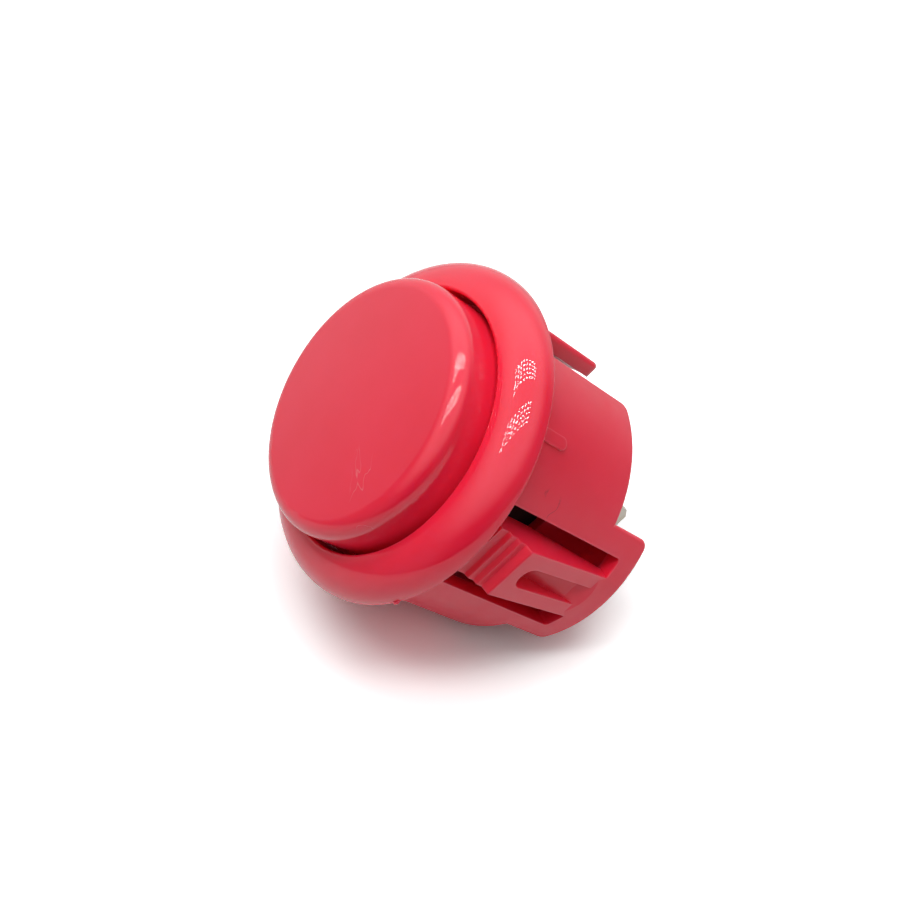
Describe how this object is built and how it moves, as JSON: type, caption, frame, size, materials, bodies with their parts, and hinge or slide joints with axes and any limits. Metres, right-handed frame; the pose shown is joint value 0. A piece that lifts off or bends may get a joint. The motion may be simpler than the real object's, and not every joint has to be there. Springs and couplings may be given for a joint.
{
  "type": "arcade push button",
  "caption": "Round snap-in push button with a low-domed cap, rounded rim, stepped side latches and a spring-return switch with blade terminals, for a panel hole.",
  "frame": {"origin": "on the button's axis, in the plane of the rim's underside where it seats on the panel", "axes": "+Z out of the panel towards the player, +X towards one latch, +Y towards one guide slot"},
  "size_m": [0.0333, 0.0332, 0.0322],
  "materials": {
    "red_plastic": "semi-gloss moulded",
    "red_gloss": "glossy moulded",
    "black_plastic": "satin moulded",
    "white_plastic": "satin moulded",
    "copper_alloy": "rolled strip",
    "silver_contact": "pressed rivet",
    "tinned_brass": "tin plated strip",
    "spring_steel": "drawn wire"
  },
  "bodies": {
    "housing": {"housing": "red_plastic", "switch_base": "black_plastic", "switch_cover": "black_plastic", "left_terminal": "tinned_brass", "right_terminal": "tinned_brass", "left_fixed_contact": "silver_contact", "right_fixed_contact": "silver_contact", "return_spring": "spring_steel"},
    "plunger": {"plunger": "red_gloss"},
    "actuator": {"actuator": "white_plastic", "contact_bridge": "copper_alloy", "left_moving_contact": "silver_contact", "right_moving_contact": "silver_contact"}
  },
  "joints": [
    {"name": "plunger_press", "type": "slide", "parent": "housing", "child": "plunger", "axis": [0, 0, -1], "range_m": [0, 0.0022], "stiffness_N_per_m": 180, "springref_m": -0.0028, "deforming": ["return_spring"]},
    {"name": "actuator_press", "type": "slide", "parent": "housing", "child": "actuator", "axis": [0, 0, -1], "range_m": [0, 0.0022]}
  ],
  "couplings": [
    {"joint": "actuator_press", "follows": "plunger_press", "ratio": 1}
  ]
}
